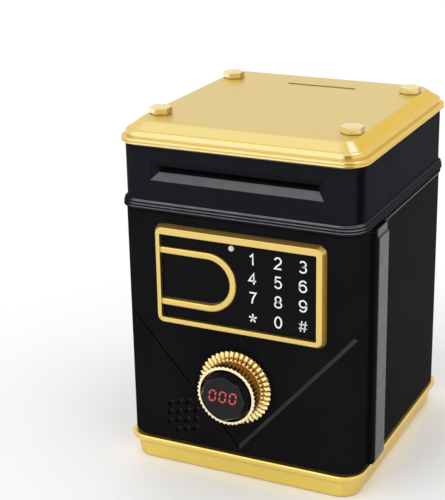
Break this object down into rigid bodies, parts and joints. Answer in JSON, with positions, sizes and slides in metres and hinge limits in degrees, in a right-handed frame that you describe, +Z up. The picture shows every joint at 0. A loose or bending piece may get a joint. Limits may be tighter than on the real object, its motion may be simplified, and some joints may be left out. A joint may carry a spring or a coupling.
{
  "type": "toy cash machine savings bank",
  "caption": "Upright toy cash-machine money box: hinged front door with keypad and display knob, note slot in the head, coin slot in the lid.",
  "frame": {"origin": "centre of the flat underside of the base, on the surface that the bank stands on", "axes": "+Z up; -Y is the front with the door, keypad and knob; +X is the hinge side"},
  "size_m": [0.1307, 0.1483, 0.1824],
  "materials": {
    "gold_plastic": "satin gold paint",
    "gold_plated": "polished gold plating",
    "pale_gold": "pale satin gold",
    "black_plastic": "semi-gloss",
    "black_panel": "satin",
    "bar_plastic": "satin",
    "inner_plastic": "matte",
    "white_plastic": "matte",
    "circuit_board": "solder mask",
    "dark_lens": "polished",
    "display_red": "lit",
    "led_white": "frosted",
    "steel": "zinc plated",
    "rubber": "matte"
  },
  "bodies": {
    "case": {"base_tray": "gold_plastic", "battery_box": "inner_plastic", "battery_cover": "gold_plastic", "battery_cover_screw": "steel", "battery_contact_left": "steel", "battery_contact_right": "steel", "base_screw_1": "steel", "base_screw_2": "steel", "base_screw_3": "steel", "base_screw_4": "steel", "body_shell": "black_plastic", "hinge_bar": "bar_plastic", "hinge_pin_bottom": "steel", "hinge_pin_top": "steel", "strike_plate": "steel", "head_shell": "black_plastic", "lid": "gold_plastic", "hex_bolt_1": "pale_gold", "hex_bolt_2": "pale_gold", "hex_bolt_3": "pale_gold", "hex_bolt_4": "pale_gold", "coin_chute": "white_plastic", "coin_sensor": "circuit_board", "bill_guide_lower": "inner_plastic", "bill_guide_upper": "inner_plastic", "note_sensor": "circuit_board", "feeder_side_left": "white_plastic", "feeder_side_right": "white_plastic", "feed_motor": "steel"},
    "door": {"door_panel": "black_plastic", "door_inner_cover": "inner_plastic", "keypad_frame": "gold_plastic", "keypad_panel": "black_panel", "keypad_board": "circuit_board", "indicator_led": "led_white", "door_screw_1": "steel", "door_screw_2": "steel", "door_screw_3": "steel", "door_screw_4": "steel", "speaker": "inner_plastic", "speaker_magnet": "steel", "main_board": "circuit_board", "display_hub": "inner_plastic", "display_module": "display_red", "display_lens": "dark_lens", "solenoid_body": "steel"},
    "finger_pad": {"finger_pad": "black_panel"},
    "knob": {"knob_ring": "gold_plated", "knob_pinion": "white_plastic"},
    "latch_bolt": {"latch_bolt": "steel"},
    "lock_plunger": {"lock_plunger": "steel"},
    "drive_roller": {"drive_shaft": "steel", "drive_roller_left": "rubber", "drive_roller_right": "rubber", "drive_gear": "white_plastic"},
    "pinch_roller": {"pinch_shaft": "steel", "pinch_roller_left": "rubber", "pinch_roller_right": "rubber"},
    "motor_pinion": {"motor_pinion": "white_plastic"}
  },
  "joints": [
    {"name": "door_hinge", "type": "hinge", "parent": "case", "child": "door", "pos_m": [0.0603, -0.0509, 0.0747], "axis": [0, 0, 1], "range_deg": [0, 90]},
    {"name": "knob_turn", "type": "hinge", "parent": "door", "child": "knob", "pos_m": [0, -0.0648, 0.0513], "axis": [0, -1, 0], "range_deg": [0, 45]},
    {"name": "latch_slide", "type": "slide", "parent": "door", "child": "latch_bolt", "axis": [-1, 0, 0], "range_m": [0, 0.0099]},
    {"name": "plunger_slide", "type": "slide", "parent": "door", "child": "lock_plunger", "axis": [0, 0, 1], "range_m": [0, 0.004], "stiffness_N_per_m": 60},
    {"name": "finger_press", "type": "slide", "parent": "door", "child": "finger_pad", "axis": [0, 1, 0], "range_m": [0, 0.0008], "stiffness_N_per_m": 600},
    {"name": "drive_spin", "type": "hinge", "parent": "case", "child": "drive_roller", "pos_m": [0, -0.043, 0.1495], "axis": [1, 0, 0], "continuous": true},
    {"name": "pinch_spin", "type": "hinge", "parent": "case", "child": "pinch_roller", "pos_m": [0, -0.043, 0.1604], "axis": [1, 0, 0], "continuous": true},
    {"name": "motor_spin", "type": "hinge", "parent": "case", "child": "motor_pinion", "pos_m": [0.0385, -0.0322, 0.1495], "axis": [1, 0, 0], "continuous": true}
  ],
  "couplings": [
    {"joint": "latch_slide", "follows": "knob_turn", "m_per_rad": 0.0125},
    {"joint": "pinch_spin", "follows": "drive_spin", "ratio": -2},
    {"joint": "motor_spin", "follows": "drive_spin", "ratio": -2}
  ]
}
